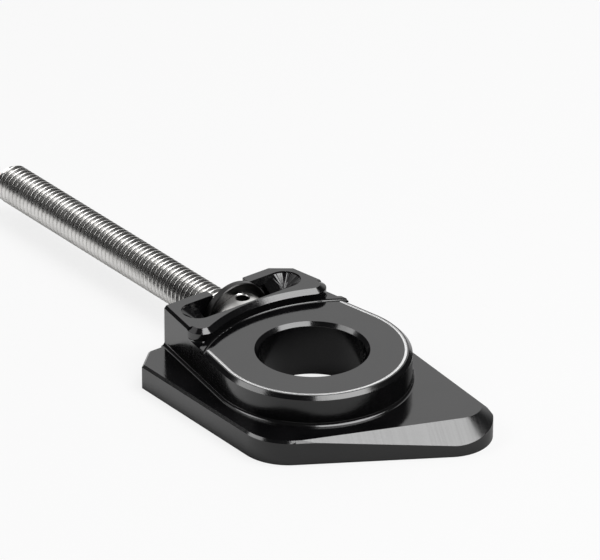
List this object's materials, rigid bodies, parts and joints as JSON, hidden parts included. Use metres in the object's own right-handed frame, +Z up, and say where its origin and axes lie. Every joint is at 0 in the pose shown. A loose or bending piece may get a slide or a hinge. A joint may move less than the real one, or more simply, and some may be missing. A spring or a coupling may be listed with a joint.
{
  "type": "chain adjuster",
  "caption": "Motorbike axle block with a broad bevelled plate, round boss and long threaded stud turned by a capstan head in an open pocket.",
  "frame": {"origin": "axis of the wheel axle's bore, at the block's lower face", "axes": "+Z up along the bore, out of the boss; +X towards the plate's tip, with the stud pointing to -X"},
  "size_m": [0.1332, 0.0456, 0.0149],
  "materials": {
    "black_anodised": "black anodised, glossy",
    "dark_washer": "dark, satin",
    "polished_head": "polished stainless",
    "stud_steel": "rolled thread, stainless"
  },
  "bodies": {
    "root": {"adjuster_block": "black_anodised", "washer": "dark_washer"},
    "screw": {"stud": "stud_steel", "capstan_head": "polished_head"}
  },
  "joints": [
    {"name": "screw_turn", "type": "hinge", "parent": "root", "child": "screw", "pos_m": [-0.0217, 0, 0.0068], "axis": [-1, 0, 0], "continuous": true}
  ]
}
